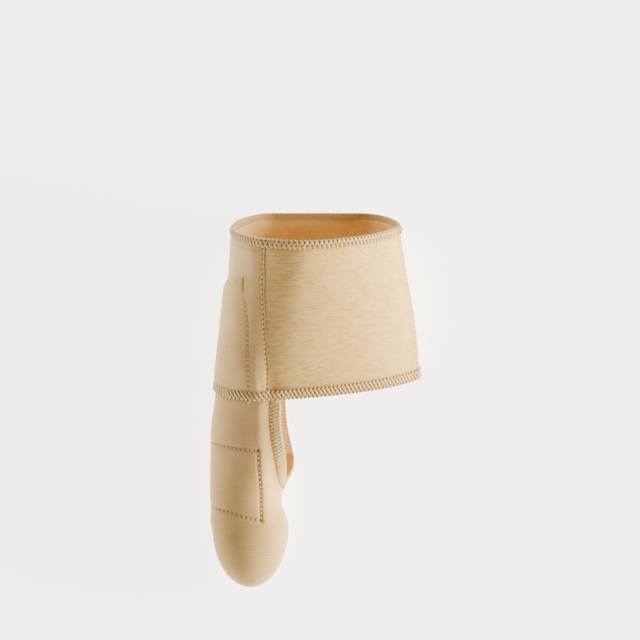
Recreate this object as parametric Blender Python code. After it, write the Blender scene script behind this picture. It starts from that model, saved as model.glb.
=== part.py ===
"""Bunion corrector for a left foot, in its worn form: an elastic band round the midfoot, a closed
sleeve over the big toe, and a pull strap under both that holds the toe straight.

Metres, +Z up. The toes point to -Y and the big toe is at -X. The origin is on the inner face of the
band where it runs under the sole, half way along the band.

Each piece follows the skin of the foot that it is cut for. A place on that skin has two numbers.
y is how far along the foot it is. turn is the share of the way round: 0 on the side line, where the
big-toe side is widest, 1 on the widest line of the little-toe side, reached over the instep, and -1
on that same line, reached under the sole. A reach is the way from the side line in metres, plus over
the instep and minus under the sole. A lift is a height above the skin.
"""

import bmesh
import bpy
import numpy as np

# The foot that it is cut for
FOOT_LENGTH = 0.245
FOOT_BREADTH = 0.0926
INSTEP_HEIGHT = 0.080
TOE_LENGTH = 0.0834
TOE_BREADTH = 0.0333
TOE_HEIGHT = 0.023
TIP_HEIGHT = 0.0095
WEB_DEPTH = 0.0387

# Band round the midfoot: its height is taken under the sole, hems included
BAND_HEIGHT = 0.0765
BAND_WALL = 0.0012
REAR_LEAN = 0.346
FRONT_LEAN = 0.384
FRONT_SKEW = 0.047
LAP_WIDTH = 0.010
LAP_RISE = 0.0008
LAP_REACH = 0.006

# Overlocked hems
REAR_HEM_WIDTH = 0.0037
FRONT_HEM_WIDTH = 0.0046
SLEEVE_HEM_WIDTH = 0.0038
HEM_RISE = 0.0005
HEM_SQUARENESS = 0.6
RISE_FACING = 0.5
RISE_TURN = 0.4

# Second layer on the big-toe side
PANEL_WALL = 0.0010
PANEL_OVER = 0.0360
PANEL_UNDER = 0.0220
PANEL_EDGE_SHARE = 0.4

# Strap from the toe to the arch
STRAP_THICKNESS = 0.0014
STRAP_OVER_TOE = 0.0270
STRAP_OVER_BAND = 0.0190
STRAP_UNDER = 0.0100
STRAP_LENGTH = 0.1000
STRAP_FROM_TIP = 0.0314
STRAP_TAPER = 0.0220
STRAP_SKIVE = 0.0140
STRAP_END_SHARE = 0.4
STRAP_EDGE_SHARE = 0.4

# Sleeve over the toe
SLEEVE_WALL = 0.0012
MOUTH_OVER = 0.0345
MOUTH_UNDER = 0.0390
MOUTH_SQUARENESS = 3.7

# Clearances, how far cloth takes to come down from an edge under it, and how many walls wide a pressed
# edge is
GAP = 0.0003
LAYER_GAP = 0.0005
EDGE_MARGIN = 0.0015
EASE = 0.0070
EDGE_WALLS = 3

# Facets
BAND_STATIONS = 56
BAND_ROWS = 17
SIDE_FINENESS = 0.45
PANEL_COLUMNS = 22
STRAP_COLUMNS = 11
STRAP_ROWS = 30
SLEEVE_COLUMNS = 38
LEG_ROWS = 12
TUBE_ROWS = 3
CAP_ROWS = 6
HEM_CORNERS = 8
QUARTER_STEPS = 60
RIM_PASSES = 10
EDGE_PASSES = 4
SEAM_WELD = 1e-7
SMALL_TURN = 0.01
SMALL_WAY = 0.0005

# Sections of the foot. medial, ridge and lateral are x at the two sides and at the top line, z_m and
# z_l the heights of the sides, and the corners how far in from each side the sole turns flat. fall
# shapes the slope from ridge to lateral: 2 is an ellipse, and less is straighter.
COLUMNS = ("y", "medial", "ridge", "lateral", "top", "z_m", "z_l", "corner_m", "corner_l", "fall")

# Behind the toes, each as a share of the size in INSTEP_SIZES.
INSTEP_SIZES = (FOOT_LENGTH, *3 * (FOOT_BREADTH,), *3 * (INSTEP_HEIGHT,), *2 * (FOOT_BREADTH,), 1.0)
INSTEP_ROWS = (
    (0.167, -0.389, -0.032, 0.394, 1.150, 0.525, 0.475, 0.184, 0.184, 1.5),
    (0.094, -0.395, -0.043, 0.406, 1.075, 0.500, 0.450, 0.184, 0.173, 1.5),
    (0.020, -0.404, -0.065, 0.434, 0.956, 0.462, 0.400, 0.205, 0.162, 1.6),
    (-0.061, -0.424, -0.097, 0.477, 0.819, 0.400, 0.312, 0.227, 0.140, 1.6),
    (-0.143, -0.450, -0.130, 0.505, 0.681, 0.338, 0.225, 0.216, 0.130, 1.6),
    (-0.224, -0.474, -0.162, 0.518, 0.540, 0.275, 0.175, 0.184, 0.119, 1.6),
)

# From the ball line to the toe's rounded end, each as a share of the size in TOE_SIZES. y is taken
# from the ball line, and ridge and lateral from the medial side.
TOE_SIZES = (-TOE_LENGTH, FOOT_BREADTH, *2 * (TOE_BREADTH,), *3 * (TOE_HEIGHT,), *2 * (TOE_BREADTH,), 1.0)
TOE_ROWS = (
    (0.144, -0.492, 0.80, 2.00, 1.635, 0.826, 0.609, 0.450, 0.360, 1.8),
    (0.288, -0.496, 0.66, 1.25, 1.413, 0.696, 0.587, 0.420, 0.390, 2.0),
    (0.462, -0.499, 0.49, 0.905, 1.174, 0.565, 0.565, 0.405, 0.390, 2.0),
    (0.540, -0.501, 0.47, 0.880, 1.090, 0.530, 0.530, 0.405, 0.375, 2.0),
    (0.684, -0.506, 0.49, 0.99, 1.000, 0.478, 0.478, 0.405, 0.375, 2.0),
)

CLOTH = (0.69, 0.54, 0.36, 1.0)
CLOTH_ROUGHNESS = 0.85
FINISHES = {
    "midfoot_band": CLOTH,
    "band_top_hem": (0.76, 0.62, 0.43, 1.0),
    "band_bottom_hem": (0.76, 0.62, 0.43, 1.0),
    "pocket_panel": (0.64, 0.49, 0.31, 1.0),
    "pull_strap": (0.60, 0.45, 0.28, 1.0),
    "toe_sleeve": (0.66, 0.51, 0.32, 1.0),
    "sleeve_hem": (0.78, 0.65, 0.46, 1.0),
}


def smooth(share):
    """Rises from 0 to 1, level at both ends."""
    share = np.clip(share, 0.0, 1.0)
    return share * share * (3.0 - 2.0 * share)


def foot_sections():
    """Both tables in metres, as one array in order of rising y, a row for each section."""
    instep = np.array(INSTEP_ROWS) * INSTEP_SIZES
    toe = np.array(TOE_ROWS) * TOE_SIZES
    toe[:, 0] += instep[-1, 0]
    toe[:, 2:4] += toe[:, 1:2]
    return np.concatenate([instep, toe])[::-1]


SECTIONS = foot_sections()
BALL_Y = SECTIONS[len(TOE_ROWS), 0]
CAP_Y = SECTIONS[0, 0]
TIP_Y = BALL_Y - TOE_LENGTH
CAP_LENGTH = CAP_Y - TIP_Y
WEB_Y = BALL_Y - WEB_DEPTH
STRAP_TOE_Y = TIP_Y + STRAP_FROM_TIP
STRAP_REAR_Y = STRAP_TOE_Y + STRAP_LENGTH


def section_slopes(y, values):
    """Slopes at the sections that let a cubic pass through them without overshooting, level at both ends."""
    rises = np.diff(values, axis=0) / np.diff(y)[:, None]
    before, after = rises[:-1], rises[1:]
    same_way = before * after > 0
    total = np.where(same_way, before + after, 1.0)
    middle = np.where(same_way, 2.0 * before * after / total, 0.0)
    level = np.zeros((1, values.shape[1]))
    return np.concatenate([level, middle, rises[-1:]])


SECTION_SLOPES = section_slopes(SECTIONS[:, 0], SECTIONS[:, 1:])


def section_at(y):
    """The section's measures at each y, by name, as columns of numbers."""
    rows_y, rows = SECTIONS[:, 0], SECTIONS[:, 1:]
    index = np.clip(np.searchsorted(rows_y, y) - 1, 0, len(rows_y) - 2)
    span = (rows_y[index + 1] - rows_y[index])[:, None]
    share = np.clip((y - rows_y[index])[:, None] / span, 0.0, 1.0)
    lower, upper = rows[index], rows[index + 1]
    from_lower = share * (1.0 - share) ** 2 * span * SECTION_SLOPES[index]
    from_upper = share**2 * (1.0 - share) * span * SECTION_SLOPES[index + 1]
    values = lower + (upper - lower) * smooth(share) + from_lower - from_upper
    return {name: values[:, [column]] for column, name in enumerate(COLUMNS[1:])}


def outlines(s):
    """x and z along the skin of sections s, from the side line to the far side line, over the instep and
    under the sole. Each way is two quarter ellipses, the one beyond the ridge a superellipse, and under
    the sole a flat joins them."""
    angle = np.linspace(0.0, np.pi / 2, QUARTER_STEPS)
    cos, sin = np.cos(angle), np.sin(angle)
    power = 2.0 / s["fall"]
    beyond_x = s["ridge"] + (s["lateral"] - s["ridge"]) * sin[1:] ** power
    beyond_z = s["z_l"] + (s["top"] - s["z_l"]) * cos[1:] ** power
    over_x = [s["ridge"] - (s["ridge"] - s["medial"]) * cos, beyond_x]
    over_z = [s["z_m"] + (s["top"] - s["z_m"]) * sin, beyond_z]
    under_x = [s["medial"] + s["corner_m"] * (1 - cos), s["lateral"] - s["corner_l"] * (1 - sin)]
    under_z = [s["z_m"] * (1 - sin), s["z_l"] * (1 - cos)]
    over = np.concatenate(over_x, axis=1), np.concatenate(over_z, axis=1)
    under = np.concatenate(under_x, axis=1), np.concatenate(under_z, axis=1)
    return over, under


def run_along(outline):
    """The length of skin from each outline's start to each of its points."""
    x, z = outline
    steps = np.hypot(np.diff(x, axis=1), np.diff(z, axis=1))
    return np.concatenate([np.zeros((len(x), 1)), np.cumsum(steps, axis=1)], axis=1)


def point_along(outline, share):
    """x and z at a share of each outline's length."""
    x, z = outline
    run = run_along(outline)
    target = share * run[:, -1]
    index = np.clip((run <= target[:, None]).sum(axis=1) - 1, 0, run.shape[1] - 2)
    row = np.arange(len(run))
    part = (target - run[row, index]) / (run[row, index + 1] - run[row, index])
    px = x[row, index] + part * (x[row, index + 1] - x[row, index])
    pz = z[row, index] + part * (z[row, index + 1] - z[row, index])
    return px, pz


def skin(turn, y):
    """Points of the skin. Ahead of CAP_Y the toe ends in half an ellipsoid, and y goes on as the way
    over it: each section there shrinks towards the toe's axis by the cosine of its angle."""
    turn, y = np.broadcast_arrays(turn, y)
    shape = turn.shape
    turn, y = (turn.ravel() + 1.0) % 2.0 - 1.0, y.ravel()
    section = section_at(np.maximum(y, CAP_Y))
    over, under = outlines(section)
    over_x, over_z = point_along(over, np.abs(turn))
    under_x, under_z = point_along(under, np.abs(turn))
    x = np.where(turn >= 0, over_x, under_x)
    z = np.where(turn >= 0, over_z, under_z)
    angle = np.clip((CAP_Y - y) / CAP_LENGTH, 0.0, np.pi / 2)
    middle = (section["medial"] + section["lateral"])[:, 0] / 2
    x = middle + (x - middle) * np.cos(angle)
    z = TIP_HEIGHT + (z - TIP_HEIGHT) * np.cos(angle)
    y = np.where(angle > 0, CAP_Y - CAP_LENGTH * np.sin(angle), y)
    return np.stack([x, y, z], axis=-1).reshape(*shape, 3)


def skin_ways(turn, y):
    """How a point of the skin moves for each unit of turn and of y."""
    round_foot = (skin(turn + SMALL_TURN, y) - skin(turn - SMALL_TURN, y)) / (2 * SMALL_TURN)
    along_foot = (skin(turn, y + SMALL_WAY) - skin(turn, y - SMALL_WAY)) / (2 * SMALL_WAY)
    return round_foot, along_foot


def unit(vectors):
    return vectors / np.linalg.norm(vectors, axis=-1, keepdims=True)


def outward(turn, y):
    """The skin's normal, pointing away from the foot."""
    round_foot, along_foot = skin_ways(turn, y)
    return unit(np.cross(round_foot, along_foot))


def lifted(turn, y, lift):
    """Points at a lift above the skin."""
    return skin(turn, y) + outward(turn, y) * np.asarray(lift)[..., None]


def half_girths(y):
    """The length of skin over the instep and under the sole, from side line to side line."""
    over, under = outlines(section_at(np.maximum(y.ravel(), CAP_Y)))
    return run_along(over)[:, -1].reshape(y.shape), run_along(under)[:, -1].reshape(y.shape)


def turn_at(reach, y):
    """The turn that lies at a reach from the side line."""
    reach, y = np.broadcast_arrays(reach, np.asarray(y, float))
    over, under = half_girths(y)
    return np.where(reach >= 0, reach / over, reach / under)


def reach_at(turn, y):
    """The reach of a turn from the side line."""
    over, under = half_girths(y)
    return np.where(turn >= 0, turn * over, turn * under)


def fall(excess):
    """1 up to a small margin past an edge, then down to 0 as cloth eases off it."""
    return 1.0 - smooth((excess - EDGE_MARGIN) / EASE)


def strap_top_edge(y):
    """Reach of the strap's edge on the instep side: wider on the toe than under the band."""
    narrowed = smooth((y - BALL_Y) / STRAP_TAPER)
    return STRAP_OVER_TOE + (STRAP_OVER_BAND - STRAP_OVER_TOE) * narrowed


def strap_thickness(y):
    """Thickness of the strap, which is skived at its toe end so that it doesn't press."""
    return STRAP_THICKNESS * (STRAP_END_SHARE + (1 - STRAP_END_SHARE) * smooth((y - STRAP_TOE_Y) / STRAP_SKIVE))


def strap_lift(turn, y):
    """Lift that the strap gives to the inner face of the cloth over it."""
    turn, y = np.broadcast_arrays(turn, y)
    reach = reach_at(turn, y)
    across = fall(reach - strap_top_edge(y)) * fall(-STRAP_UNDER - reach)
    along = fall(y - STRAP_REAR_Y) * fall(STRAP_TOE_Y - y)
    return (strap_thickness(y) + LAYER_GAP) * across * along


def panel_cover(turn, y):
    """1 where the panel lies, down to 0 past its long edges."""
    reach = reach_at(turn, y)
    return fall(reach - PANEL_OVER) * fall(-PANEL_UNDER - reach)


def lap_lift(turn, y):
    """Extra thickness of the band where its two ends lap, just over the far side line."""
    off_centre = np.abs(reach_at(np.abs(turn), y) - half_girths(y)[0] + LAP_REACH)
    over_instep = turn >= 0
    return LAP_RISE * over_instep * (1.0 - smooth(2.0 * off_centre / LAP_WIDTH))


def band_edge(turn, middle, lean, skew):
    """y where a leaning plane, crossing the sole at middle, cuts the skin."""
    y = np.full(np.shape(turn), middle)
    for _ in range(RIM_PASSES):
        point = skin(turn, y)
        y = middle + skew * point[..., 0] - lean * point[..., 2]
    return y


def cloth_per_y(turn, y):
    """Length of cloth along the foot for each unit of y."""
    return np.linalg.norm(skin_ways(turn, y)[1], axis=-1)


def behind_front(turn, depth):
    """y at a depth of cloth behind the band's front edge."""
    y = band_edge(turn, -BAND_HEIGHT / 2, FRONT_LEAN, FRONT_SKEW)
    return y + depth / cloth_per_y(turn, y)


def ahead_of_rear(turn, depth):
    """y at a depth of cloth ahead of the band's rear edge."""
    y = band_edge(turn, BAND_HEIGHT / 2, REAR_LEAN, 0.0)
    return y - depth / cloth_per_y(turn, y)


def band_turns():
    """Stations round the foot, closer together on the big-toe side."""
    even = np.linspace(-1.0, 1.0, BAND_STATIONS, endpoint=False)
    return even - SIDE_FINENESS * np.sin(np.pi * even) / np.pi


def band_rows(turn):
    """y of the band's rows of facets at each turn, between the two hems."""
    front = behind_front(turn, FRONT_HEM_WIDTH + GAP)
    rear = ahead_of_rear(turn, REAR_HEM_WIDTH + GAP)
    share = np.linspace(0.0, 1.0, BAND_ROWS)
    return front + (rear - front) * share


def grid_faces(stations, corners, closed, ringed):
    """Four-sided faces between the corners of neighbouring stations."""
    station = np.arange(stations if closed else stations - 1)[:, None]
    corner = np.arange(corners if ringed else corners - 1)[None, :]
    here, there = station * corners, (station + 1) % stations * corners
    following = (corner + 1) % corners
    return np.stack([here + corner, there + corner, there + following, here + following], axis=-1).reshape(-1, 4)


def piece(name, points, faces, parent):
    """One solid with its own cloth, sewn where points coincide, with all of its faces turned outwards."""
    mesh = bpy.data.meshes.new(name)
    mesh.from_pydata([tuple(point) for point in points], [], [tuple(face) for face in faces])
    shape = bmesh.new()
    shape.from_mesh(mesh)
    bmesh.ops.remove_doubles(shape, verts=shape.verts, dist=SEAM_WELD)
    bmesh.ops.recalc_face_normals(shape, faces=shape.faces)
    shape.to_mesh(mesh)
    shape.free()
    mesh.shade_smooth()
    cloth = bpy.data.materials.new(name)
    cloth.use_nodes = True
    surface = cloth.node_tree.nodes["Principled BSDF"]
    surface.inputs["Base Color"].default_value = FINISHES[name]
    surface.inputs["Roughness"].default_value = CLOTH_ROUGHNESS
    mesh.materials.append(cloth)
    solid = bpy.data.objects.new(name, mesh)
    bpy.context.scene.collection.objects.link(solid)
    solid.parent = parent
    return solid


def ring_piece(name, outer, inner, parent):
    """A wall that closes round the foot: each station's section runs out along outer, back along inner."""
    points = np.concatenate([outer, inner[:, ::-1]], axis=1)
    faces = grid_faces(points.shape[0], points.shape[1], closed=True, ringed=True)
    return piece(name, points.reshape(-1, 3), faces, parent)


def strip_piece(name, outer, inner, parent):
    """A wall with two ends, each closed by a ladder of faces between its outer and inner edge."""
    points = np.concatenate([outer, inner[:, ::-1]], axis=1)
    stations, corners = points.shape[:2]
    sides = grid_faces(stations, corners, closed=False, ringed=True)
    rung = np.arange(corners // 2 - 1)
    ladder = np.stack([rung, rung + 1, corners - 2 - rung, corners - 1 - rung], axis=-1)
    ends = np.concatenate([ladder, ladder + (stations - 1) * corners])
    return piece(name, points.reshape(-1, 3), np.concatenate([sides, ends]), parent)


def midfoot_band(parent):
    turn = band_turns()[:, None]
    y = band_rows(turn)
    lift = strap_lift(turn, y)
    outer = lifted(turn, y, lift + BAND_WALL + lap_lift(turn, y))
    return ring_piece("midfoot_band", outer, lifted(turn, y, lift), parent)


def hem_section(width):
    """Corners of a hem's section: the way across it, and the share of its thickness."""
    angle = (np.arange(HEM_CORNERS) + 0.5) * 2 * np.pi / HEM_CORNERS
    across = np.sign(np.cos(angle)) * np.abs(np.cos(angle)) ** HEM_SQUARENESS
    height = np.sign(np.sin(angle)) * np.abs(np.sin(angle)) ** HEM_SQUARENESS
    most = np.abs(across).max()
    return width * (1 + across / most) / 2, (1 + height / most) / 2


def hem_rise(turn, y):
    """How far a hem stands above the wall beside it: not at all under the sole, which stays flat. It sinks
    as the cloth turns down, from RISE_FACING of straight down on."""
    facing_down = -outward(turn, y)[..., 2]
    return HEM_RISE * (1.0 - smooth((facing_down - RISE_FACING) / RISE_TURN))


def band_hem(name, width, place, parent):
    """A hem round the band. place gives y from the turn and the depth of cloth in from the edge."""
    turn = band_turns()[:, None]
    depth, height = hem_section(width)
    y = place(turn, depth[None, :])
    middle = place(turn, width / 2)
    inner = strap_lift(turn, middle)
    cover = panel_cover(turn, middle)
    layers = BAND_WALL + cover * (LAYER_GAP + PANEL_WALL)
    outer = inner + layers + lap_lift(turn, middle) + (1.0 - cover) * hem_rise(turn, middle)
    points = lifted(turn, y, inner + (outer - inner) * height)
    faces = grid_faces(points.shape[0], points.shape[1], closed=True, ringed=True)
    return piece(name, points.reshape(-1, 3), faces, parent)


def pocket_panel(parent):
    """The second layer. Its long edges thin out, as a pressed fold does."""
    share = np.linspace(0.0, 1.0, PANEL_COLUMNS)[:, None]
    reach = -PANEL_UNDER + (PANEL_OVER + PANEL_UNDER) * share
    turn = turn_at(reach, BALL_Y)
    for _ in range(EDGE_PASSES):
        y = band_rows(turn)
        turn = turn_at(reach, y)
    base = strap_lift(turn, y) + BAND_WALL + LAYER_GAP
    from_edge = np.minimum(share, 1 - share) * (PANEL_OVER + PANEL_UNDER)
    wall = PANEL_WALL * (PANEL_EDGE_SHARE + (1 - PANEL_EDGE_SHARE) * smooth(from_edge / (EDGE_WALLS * PANEL_WALL)))
    return strip_piece("pocket_panel", lifted(turn, y, base + wall), lifted(turn, y, base), parent)


def pull_strap(parent):
    """The strap from its end on the toe to its end at the arch, with softened edges."""
    share = np.linspace(0.0, 1.0, STRAP_COLUMNS)[None, :]
    y = STRAP_TOE_Y + STRAP_LENGTH * np.linspace(0.0, 1.0, STRAP_ROWS)[:, None]
    width = strap_top_edge(y) + STRAP_UNDER
    turn = turn_at(-STRAP_UNDER + width * share, y)
    from_edge = np.minimum(share, 1 - share) * width
    edge = STRAP_EDGE_SHARE + (1 - STRAP_EDGE_SHARE) * smooth(from_edge / (EDGE_WALLS * STRAP_THICKNESS))
    thickness = strap_thickness(y) * edge
    return strip_piece("pull_strap", lifted(turn, y, thickness), skin(turn, y), parent)


def corner_way(share):
    """How far along a quarter superellipse has come, at even steps of its angle."""
    angle = share * np.pi / 2
    sin, cos = np.sin(angle), np.cos(angle)
    return sin / (sin**MOUTH_SQUARENESS + cos**MOUTH_SQUARENESS) ** (1 / MOUTH_SQUARENESS)


def sleeve_place(across, along):
    """turn and y on the open part of the sleeve. across goes from -1, its edge under the sole, to 1, its
    edge over the instep. along goes from 0, at the band's front hem, to 1, at the web of the toes, and
    as it does the two edges turn in towards each other and meet."""
    edge_reach = np.where(across >= 0, MOUTH_OVER, -MOUTH_UNDER)
    hem_y = np.full(across.shape, BALL_Y)
    for _ in range(EDGE_PASSES):
        hem_y = behind_front(np.abs(across) * turn_at(edge_reach, hem_y), -GAP)
    forward = along + (corner_way(along) - along) * across**2
    sideways = 1.0 - (1.0 - forward**MOUTH_SQUARENESS) ** (1 / MOUTH_SQUARENESS)
    y = hem_y + (WEB_Y - hem_y) * forward
    edge_turn = turn_at(edge_reach, y)
    web_turn = np.where(across >= 0, 1.0, -1.0)
    return np.abs(across) * (edge_turn + (web_turn - edge_turn) * sideways), y


def toe_sleeve(parent):
    """The sleeve: a sheet whose two long edges are free as far as the web and joined beyond it, closed
    at the tip by a fan of faces outside and another inside."""
    across = np.linspace(-1.0, 1.0, SLEEVE_COLUMNS + 1)[:, None]
    open_turn, open_y = sleeve_place(across, np.linspace(0.0, 1.0, LEG_ROWS + 1)[None, :])
    tube_y = np.linspace(WEB_Y, CAP_Y, TUBE_ROWS + 1)[1:]
    cap_y = CAP_Y - CAP_LENGTH * np.linspace(0.0, np.pi / 2, CAP_ROWS + 2)[1:-1]
    closed_y = np.concatenate([tube_y, cap_y])
    turn = np.concatenate([open_turn, np.repeat(across, len(closed_y), axis=1)], axis=1)
    y = np.concatenate([open_y, np.tile(closed_y, (len(across), 1))], axis=1)
    lift = strap_lift(turn, y)
    outer, inner = lifted(turn, y, lift + SLEEVE_WALL), lifted(turn, y, lift)
    grid = np.concatenate([outer[:, ::-1], inner], axis=1)
    stations, corners = grid.shape[:2]
    walls = grid_faces(stations, corners, closed=False, ringed=False)
    rows = corners // 2
    rung = np.arange(LEG_ROWS)
    rim = np.stack([rows - 1 - rung, rows - 2 - rung, rows + 1 + rung, rows + rung], axis=-1)
    tip = skin(np.zeros(1), np.array([CAP_Y - CAP_LENGTH * np.pi / 2]))
    points = np.concatenate([grid.reshape(-1, 3), tip - (0.0, SLEEVE_WALL, 0.0), tip])
    first = np.arange(stations - 1) * corners
    outer_tip = np.full(stations - 1, stations * corners)
    outer_fan = np.stack([first, first + corners, outer_tip], axis=-1)
    inner_fan = np.stack([first + corners - 1, first + 2 * corners - 1, outer_tip + 1], axis=-1)
    quads = np.concatenate([walls, rim, rim + (stations - 1) * corners])
    return piece("toe_sleeve", points, [*quads.tolist(), *outer_fan.tolist(), *inner_fan.tolist()], parent)


def sleeve_hem(parent):
    """The hem round the sleeve's opening, from the band over the instep to the web and back under the
    sole. Its sections step off the sleeve's edge square to it, along the skin."""
    along = np.linspace(0.0, 1.0, LEG_ROWS + 1)
    over_turn, over_y = sleeve_place(np.ones(1), along)
    under_turn, under_y = sleeve_place(-np.ones(1), along[-2::-1])
    turn = np.concatenate([over_turn, under_turn + 2.0])[:, None]
    y = np.concatenate([over_y, under_y])[:, None]
    path = skin(turn, y)[:, 0]
    normal = outward(turn, y)[:, 0]
    away = np.cross(normal, unit(np.gradient(path, axis=0)))
    round_foot, along_foot = (ways[:, 0] for ways in skin_ways(turn, y))
    ways = np.stack([round_foot, along_foot], axis=-1)
    step = np.linalg.pinv(ways) @ away[..., None]
    across, height = hem_section(SLEEVE_HEM_WIDTH)
    out = (GAP + across)[None, :]
    hem_turn = turn + step[:, 0] * out
    hem_y = np.minimum(y + step[:, 1] * out, behind_front(hem_turn, -GAP))
    thickness = SLEEVE_WALL + hem_rise(turn, y)
    points = lifted(hem_turn, hem_y, thickness * height)
    half = HEM_CORNERS // 2
    return strip_piece("sleeve_hem", points[:, :half], points[:, :half - 1:-1], parent)


def main():
    for old in list(bpy.data.objects):
        bpy.data.objects.remove(old)
    bpy.context.scene.unit_settings.system = "METRIC"
    foot_seat = bpy.data.objects.new("foot_seat", None)
    bpy.context.scene.collection.objects.link(foot_seat)
    midfoot_band(foot_seat)
    band_hem("band_top_hem", REAR_HEM_WIDTH, ahead_of_rear, foot_seat)
    band_hem("band_bottom_hem", FRONT_HEM_WIDTH, behind_front, foot_seat)
    pocket_panel(foot_seat)
    pull_strap(foot_seat)
    toe_sleeve(foot_seat)
    sleeve_hem(foot_seat)


main()
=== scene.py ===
"""Bunion corrector for the left side, in its worn form: elastic knit, overlocked hems and sewn seams.

Metres, +Z up. The toe end points to -Y and the big-toe side is at -X.

Every piece follows the skin of the last that it is cut on. A place on that skin has two numbers: y, how far
along the last it is, and turn, the share of the way round. turn is 0 on the side line of the big-toe side,
1 on that of the little-toe side, reached over the instep, and -1 on the same line, reached under the sole.
A reach is the way from the side line, plus over the instep and minus under the sole. A lift is a height
above the skin.
"""

import math
from functools import partial

import bmesh
import bpy
import numpy as np
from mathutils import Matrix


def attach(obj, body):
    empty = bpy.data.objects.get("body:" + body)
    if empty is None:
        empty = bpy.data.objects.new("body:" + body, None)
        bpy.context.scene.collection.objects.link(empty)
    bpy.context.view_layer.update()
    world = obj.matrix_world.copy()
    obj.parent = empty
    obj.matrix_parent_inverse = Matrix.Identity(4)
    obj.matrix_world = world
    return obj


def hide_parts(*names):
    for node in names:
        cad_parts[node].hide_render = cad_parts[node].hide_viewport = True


MM = 0.001

# The last that it is cut on
LAST_LENGTH = 0.245
LAST_BREADTH = 0.0926
INSTEP_HEIGHT = 0.080
TOE_LENGTH = 0.0834
TOE_BREADTH = 0.0333
TOE_HEIGHT = 0.023
TIP_HEIGHT = 0.0095
WEB_DEPTH = 0.0387

# Band round the midfoot
BAND_HEIGHT = 0.0765
BAND_WALL = 0.0012
REAR_LEAN = 0.346
FRONT_LEAN = 0.384
FRONT_SKEW = 0.047
LAP_WIDTH = 0.010
LAP_RISE = 0.0008
LAP_REACH = 0.006

# Hems
REAR_HEM_WIDTH = 0.0037
FRONT_HEM_WIDTH = 0.0046
SLEEVE_HEM_WIDTH = 0.0038
HEM_RISE = 0.0005
HEM_SQUARENESS = 0.6
# A hem rises less where it faces down: from the first share on, over the second.
RISE_FACING = 0.5
RISE_TURN = 0.4
# How far cloth runs on under a hem's edge
INTO_HEM = 0.0006

# Second layer, strap and sleeve
PANEL_WALL = 0.0010
PANEL_OVER = 0.0360
PANEL_UNDER = 0.0220
STRAP_THICKNESS = 0.0014
STRAP_OVER_TOE = 0.0270
STRAP_OVER_BAND = 0.0190
STRAP_UNDER = 0.0100
STRAP_LENGTH = 0.1000
STRAP_FROM_TIP = 0.0314
STRAP_TAPER = 0.0220
STRAP_SKIVE = 0.0140
STRAP_END_SHARE = 0.4
SLEEVE_WALL = 0.0012
MOUTH_OVER = 0.0345
MOUTH_UNDER = 0.0390
MOUTH_SQUARENESS = 3.7
GAP = 0.0003
LAYER_GAP = 0.0005
EDGE_MARGIN = 0.0015
# The way over which cloth eases down past an edge, how much longer it gets on the band, and over what
EASE = 0.0070
BAND_EASE = 0.0045
EASE_TAPER = 0.0110

# Sections of the last, as shares of the sizes above them: the medial side, the ridge and the lateral
# side in x, the top in z, the heights of the two sides, the corners where the sole turns flat, and how
# straight the slope beyond the ridge falls.
COLUMNS = ("y", "medial", "ridge", "lateral", "top", "z_m", "z_l", "corner_m", "corner_l", "fall")
INSTEP_SIZES = (LAST_LENGTH, *3 * (LAST_BREADTH,), *3 * (INSTEP_HEIGHT,), *2 * (LAST_BREADTH,), 1.0)
INSTEP_ROWS = (
    (0.167, -0.389, -0.032, 0.394, 1.150, 0.525, 0.475, 0.184, 0.184, 1.5),
    (0.094, -0.395, -0.043, 0.406, 1.075, 0.500, 0.450, 0.184, 0.173, 1.5),
    (0.020, -0.404, -0.065, 0.434, 0.956, 0.462, 0.400, 0.205, 0.162, 1.6),
    (-0.061, -0.424, -0.097, 0.477, 0.819, 0.400, 0.312, 0.227, 0.140, 1.6),
    (-0.143, -0.450, -0.130, 0.505, 0.681, 0.338, 0.225, 0.216, 0.130, 1.6),
    (-0.224, -0.474, -0.162, 0.518, 0.540, 0.275, 0.175, 0.184, 0.119, 1.6),
)
TOE_SIZES = (-TOE_LENGTH, LAST_BREADTH, *2 * (TOE_BREADTH,), *3 * (TOE_HEIGHT,), *2 * (TOE_BREADTH,), 1.0)
TOE_ROWS = (
    (0.144, -0.492, 0.80, 2.00, 1.635, 0.826, 0.609, 0.450, 0.360, 1.8),
    (0.288, -0.496, 0.66, 1.25, 1.413, 0.696, 0.587, 0.420, 0.390, 2.0),
    (0.462, -0.499, 0.49, 0.905, 1.174, 0.565, 0.565, 0.405, 0.390, 2.0),
    (0.540, -0.501, 0.47, 0.880, 1.090, 0.530, 0.530, 0.405, 0.375, 2.0),
    (0.684, -0.506, 0.49, 0.99, 1.000, 0.478, 0.478, 0.405, 0.375, 2.0),
)

# Lines of stitches, in millimetres. Along the last: y and the reach there. Round it: reach and the y there.
PANEL_SEAM_FRONT = ((-57, 32.5), (-49.7, 33.2), (-42.4, 34.1), (-31.8, 34.5))
PANEL_SEAM = (*PANEL_SEAM_FRONT, (-21.2, 34.9), (-8.3, 35.9), (3.2, 37.1), (9.0, 38.3))
STRAP_SEAM = ((-57, 25.4), (-47, 26.2), (-37, 27.0), (-23, 28.0), (-17.5, 27.7), (-12, 27.3))
SLIT = ((-9.2, 26.8), (-1.5, 27.0))
BOX_SIDE = ((-109.8, 27.3), (-99.9, 27.2), (-87.9, 27.8), (-77.3, 28.2))
BOX_BACK = ((-8, -72.0), (4.6, -73.6), (13.6, -75.5), (20.8, -76.9), (28.2, -77.6))
BOX_FRONT = ((-8, -102.0), (6.1, -103.5), (14.7, -105.4), (20.7, -108.1), (27.3, -109.8))
BOX_UNDER = ((-102, -8), (-72, -8))

QUARTER_STEPS = 60
TURN_STEPS = 720
TABLE_STEP = 0.4 * MM
TABLE_END = 46 * MM
POLE_SHARE = 0.996
RIM_PASSES = 10
EDGE_PASSES = 4


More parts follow.
